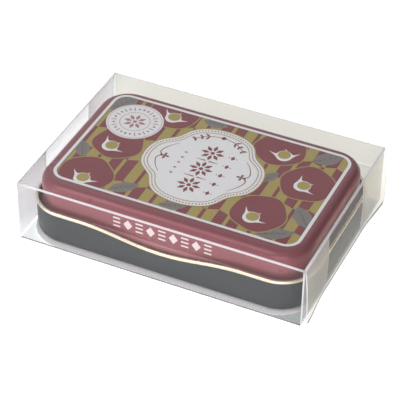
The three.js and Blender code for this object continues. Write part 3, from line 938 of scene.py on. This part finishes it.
def make_print():
    """Artwork on the lid, ink by ink from the ground up."""
    gold = Layer("print_ground_gold", "print_gold", 1)
    maroon = Layer("print_ground_stripes", "print_maroon", 2)
    ground(gold, maroon)
    leaves = Layer("print_leaves", "print_grey", 3)
    veins = Layer("print_leaf_veins", "print_vein", 4)
    for spec in LEAVES:
        leaf(*spec, leaves, veins)
    layers = {
        "outline": Layer("print_blossom_outlines", "print_gold", 5),
        "petal": Layer("print_blossoms", "print_maroon", 6),
        "white": Layer("print_calyxes", "print_white", 7),
        "eye": Layer("print_blossom_eyes", "print_gold", 8),
    }
    for spec in BLOSSOMS:
        blossom(*spec, layers)
    panels = Layer("print_white_panels", "print_white", 9)
    lines = Layer("print_panel_lines", "print_maroon", 10)
    fine = Layer("print_panel_gold_line", "print_gold", 10)
    cartouche(panels, lines, fine)
    marks = Layer("print_medallion_marks", "print_rose", 10)
    medallion(panels, marks)
    panels.band(art_edge(0), art_edge(STRIPE))
    for layer in (gold, maroon, leaves, veins, *layers.values(), panels, lines, fine, marks):
        layer.build()


ORNAMENTS, ORNAMENT_PITCH, ORNAMENT_Z = 9, 4.05, 16.1
DIAMOND_X, DIAMOND_Z = 1.6, 2.0
BAR_X, BAR_Z, BAR_PITCH = 1.3, 0.32, 1.6


def make_front_ornament():
    """Row of plain diamonds and triple bars printed on the front wall of the lid."""
    verts, faces = [], []
    y = TIN_Y - LID[1] - 0.02

    def shape(points):
        start = len(verts)
        verts.extend((x, y, z) for x, z in points)
        faces.append(tuple(range(start, start + len(points))))

    for i in range(ORNAMENTS):
        x, z = ORNAMENT_PITCH * (i - (ORNAMENTS - 1) / 2), ORNAMENT_Z
        if i % 2:
            shape([(x - DIAMOND_X, z), (x, z - DIAMOND_Z), (x + DIAMOND_X, z), (x, z + DIAMOND_Z)])
            continue
        for level in (z - BAR_PITCH, z, z + BAR_PITCH):
            low, high = level - BAR_Z, level + BAR_Z
            shape([(x - BAR_X, low), (x + BAR_X, low), (x + BAR_X, high), (x - BAR_X, high)])
    made = mesh_object("print_front_ornament", verts, faces, [MAT["ornament_pink"]])
    attach(made, "lid", "lid_enamel")


# ---------------------------------------------------------------- clear box

HALF_X, HALF_Y, TOP = box_mm("top_panel")[1]
HALF_X -= 0.03  # keeps the cover's ends clear of the closures' creases
FILM = 0.2  # thickness
COVER_FOOT = box_mm("front_panel")[0][2]
# The lowest strip of the front panel and of the right closure is painted dark, a painted contact
# shadow.
FOOT, CLOSURE_FOOT = 0.5, 1.3  # widths of the shaded strips along cut lower edges
COVER_FOLD = box_mm("back_upper_panel")[0][2] - 0.1
COVER_CREASE, BOTTOM_CREASE, CLOSURE_CREASE, FLAP_CREASE = 0.45, 0.3, 0.5, 0.3  # radii
GLUE_FLAP_Z, GLUE_FLAP_HALF = 0.3, box_mm("glue_flap")[1][0]
CLOSURE_X, CLOSURE_HALF = 50.9, box_mm("right_closure")[1][1]
CLOSURE_ROUND, CLOSURE_NARROWING = 2.5, 1.6  # height and depth of the rounded lower corners
CREASE_STEPS = 5
# The closures' side edges are painted bright as a painted highlight.
SIDE_EDGE = 0.012  # share of a closure's half width that its bright side edge takes
# How far the middle and the free edges of a closure stand out, and how far from the middle it flares.
MIDDLE_BULGE, EDGE_BULGE, FLARE_START = 0.9, 1.25, 17.6
FLAP_LOW, FLAP_HIGH = box_mm("back_right_dust_flap")
FLAP_X, FLAP_Y, FLAP_DEPTH = FLAP_LOW[0] + FILM / 2, FLAP_HIGH[1], FLAP_HIGH[1] - FLAP_LOW[1]
FLAP_BULGE = 0.5


def film_sheet(name, rows, body, *nodes, marked=None, look="film", side_edges=False):
    """Sheet of film from rows of points. Marked strips have their own look, and so may side edges."""
    marked = marked or {}
    names = [look, *sorted(set(marked.values())), "film_edge"]
    count = len(rows[0])
    verts = [p for row in rows for p in row]
    faces, index = [], []
    for k in range(len(rows) - 1):
        for i in range(count - 1):
            a = k * count + i
            faces.append((a, a + 1, a + count + 1, a + count))
            at_side = side_edges and i in (0, count - 2)
            index.append(names.index("film_edge" if at_side else marked.get(k, look)))
    looks = [MAT[n] for n in names]
    made = mesh_object(name, verts, faces, looks, index, sharp=80)
    # The cut edges all round take the edge film, painted bright as a painted highlight.
    rim = made.modifiers.new("edge", "SOLIDIFY")
    rim.thickness = FILM * MM
    rim.offset = 0
    rim.use_rim_only = True
    rim.material_offset_rim = len(names) - 1
    attach(made, body, "clear_film", *nodes)
    return made


def panel_rows(path, half, steps):
    """Rows along a path of (y, z), each row running the length of the box."""
    return [[(half * (2 * i / steps - 1), y, z) for i in range(steps + 1)] for y, z in path]


def make_cover_film():
    """Front, top and upper back panel in one sheet, folded along two creases."""
    y, top, r = HALF_Y - FILM / 2, TOP - FILM / 2, COVER_CREASE
    front = [(-y, COVER_FOOT), (-y, COVER_FOOT + FOOT), (-y, 6), (-y, 14), (-y, top - r)]
    over = arc(-y + r, top - r, r, 180, 90, CREASE_STEPS)[1:]
    back = arc(y - r, top - r, r, 90, 0, CREASE_STEPS)
    path = [*front, *over, (0, top), *back, (y, COVER_FOLD + 0.1)]
    first, last = len(front) - 1, len(path) - 2
    creases = [*range(first, first + CREASE_STEPS), *range(last - CREASE_STEPS, last)]
    # The lowest strip is painted dark as a painted shadow, and the creases are painted whiter as
    # painted highlights.
    marked = {0: "film_foot", last: "film_back", **dict.fromkeys(creases, "film_crease")}
    film_sheet("cover_film", panel_rows(path, HALF_X, 24), "cover", "front_panel", "top_panel",
               "back_upper_panel", marked=marked)


def make_tray_film():
    """Bottom and lower back panel in one sheet, and the glue flap behind the front panel."""
    y, z, r = HALF_Y - FILM / 2, FILM / 2, BOTTOM_CREASE
    path = [(-y, z), (-y + 0.8, z), (0, z), (y - r, z), *arc(y - r, z + r, r, 270, 360, 4)[1:],
            (y, 6), (y, COVER_FOLD - 0.3)]
    last = len(path) - 2
    # The creases along the bottom are painted whiter as painted highlights.
    marked = dict.fromkeys((0, *range(3, last - 1)), "film_crease")
    # The bottom panel's strips take the film with painted shadow.
    marked.update({1: "film_floor", 2: "film_floor", last - 1: "film_back", last: "film_back"})
    film_sheet("tray_film", panel_rows(path, HALF_X, 12), "base", "bottom_panel",
               "back_lower_panel", marked=marked)
    flap = [(y, GLUE_FLAP_Z) for y in (-34.9, -31, -27.9)]
    film_sheet("glue_flap_film", panel_rows(flap, GLUE_FLAP_HALF, 4), "base", "glue_flap")


def drop(z):
    """Share of the box's height that lies above this level."""
    return (TOP - z) / TOP


def closure_bulge(y, z):
    """How far the end closure stands out: its free edges lift more than its middle."""
    t = min(1, max(0, (abs(y) - FLARE_START) / FLARE_START))
    flare = t * t * (3 - 2 * t)
    middle = MIDDLE_BULGE * math.sin(math.pi * drop(z))
    edge = EDGE_BULGE * (1 - (1 - drop(z)) ** 2.5)
    return middle * (1 - flare) + edge * flare


def closure_row(x, z, sign, bulged):
    """Points across an end closure at one height, closer together at its side edges, which carry a
    painted highlight.
    """
    low = max(0, 1 - (z - COVER_FOOT) / CLOSURE_ROUND)
    half = CLOSURE_HALF - CLOSURE_NARROWING * (1 - math.sqrt(1 - low * low))
    across = [-1, SIDE_EDGE - 1, *(i / 18 for i in range(-17, 18)), 1 - SIDE_EDGE, 1]
    return [(sign * (x + (closure_bulge(half * share, z) if bulged else 0)), half * share, z)
            for share in across]


def make_closures():
    """End closures, hanging from rounded creases on the top panel, with rounded lower corners."""
    x, r = CLOSURE_X, CLOSURE_CREASE
    top = TOP - FILM / 2
    for name, sign in (("left", -1), ("right", 1)):
        turn = arc(x - r, top - r, r, 90, 0, CREASE_STEPS)
        high, foot = turn[-1][1], COVER_FOOT + CLOSURE_FOOT
        heights = [high - (high - foot) * i / 12 for i in range(1, 13)]
        path = [*turn, *((x, z) for z in heights), (x, COVER_FOOT)]
        # The crease at the top is painted whiter as a painted highlight.
        marked = dict.fromkeys(range(CREASE_STEPS), "film_crease")
        # The right closure's lowest strip is painted dark as a painted shadow.
        if sign > 0:
            marked[len(path) - 2] = "film_foot"
        rows = [closure_row(px, z, sign, bulged=z < turn[0][1]) for px, z in path]
        # Each end takes its own copy of the film. The left copy's paler haze is painted light.
        film_sheet(f"{name}_closure_film", rows, f"{name}_end", f"{name}_closure",
                   marked=marked, look=f"film_{name}", side_edges=True)


def flap_row(x, y, sx, sy):
    """Points up a dust flap at one distance from its crease: it stands out more towards its end."""
    reach = min(1, (FLAP_Y - y) / FLAP_DEPTH) if x > FLAP_X - 0.01 else 0
    heights = [FLAP_LOW[2] + (FLAP_HIGH[2] - FLAP_LOW[2]) * i / 12 for i in range(13)]
    return [(sx * (x + FLAP_BULGE * reach * math.sin(math.pi * drop(z))), sy * y, z) for z in heights]


def make_dust_flaps():
    """Four flaps folded in behind the end closures, each with an end painted bright as a painted
    highlight, and a rounded crease.
    """
    x, r, crease = FLAP_X, FLAP_CREASE, FLAP_Y - FILM / 2
    across = [*(i / 8 for i in range(1, 8)), 0.98, 1]
    path = [*arc(x - r, crease, r, 90, 0, 4), *((x, crease - (FLAP_DEPTH - FILM / 2) * share)
                                                for share in across)]
    for end, sx in (("left", -1), ("right", 1)):
        for side, sy in (("front", -1), ("back", 1)):
            marked = {len(path) - 2: "film_edge"}
            if side == "front":
                # The front flaps' creases are painted whiter as painted highlights.
                marked.update(dict.fromkeys(range(4), "film_crease"))
            rows = [flap_row(px, py, sx, sy) for px, py in path]
            film_sheet(f"{side}_{end}_flap_film", rows, "cover", f"{side}_{end}_dust_flap",
                       marked=marked, look="film_flap")


# ---------------------------------------------------------------- put together

# The CAD nodes that show as they are, by the look that each gets.
CAD_FINISH = {
    "white_card": ("insert_card",),
    "lid_enamel": ("lid_rib",),
    "felt": ("felt_core",),
    "steel": ("lid_hem", "hinge_pin", "base_knuckle_left", "base_knuckle_middle",
              "base_knuckle_right", "lid_knuckle_left", "lid_knuckle_right"),
    "film": ("left_tuck_tongue", "right_tuck_tongue"),
}


def finish_cad_nodes():
    """Gives the CAD nodes that stay visible their looks."""
    for look, names in CAD_FINISH.items():
        for name in names:
            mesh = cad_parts[name].data
            mesh.materials.clear()
            mesh.materials.append(MAT[look])


make_camera()
make_materials()
make_studio()
make_floor()
finish_cad_nodes()
make_base()
make_rim()
make_lid()
make_pad()
make_cloth()
make_print()
make_front_ornament()
make_tray_film()
make_cover_film()
make_closures()
make_dust_flaps()
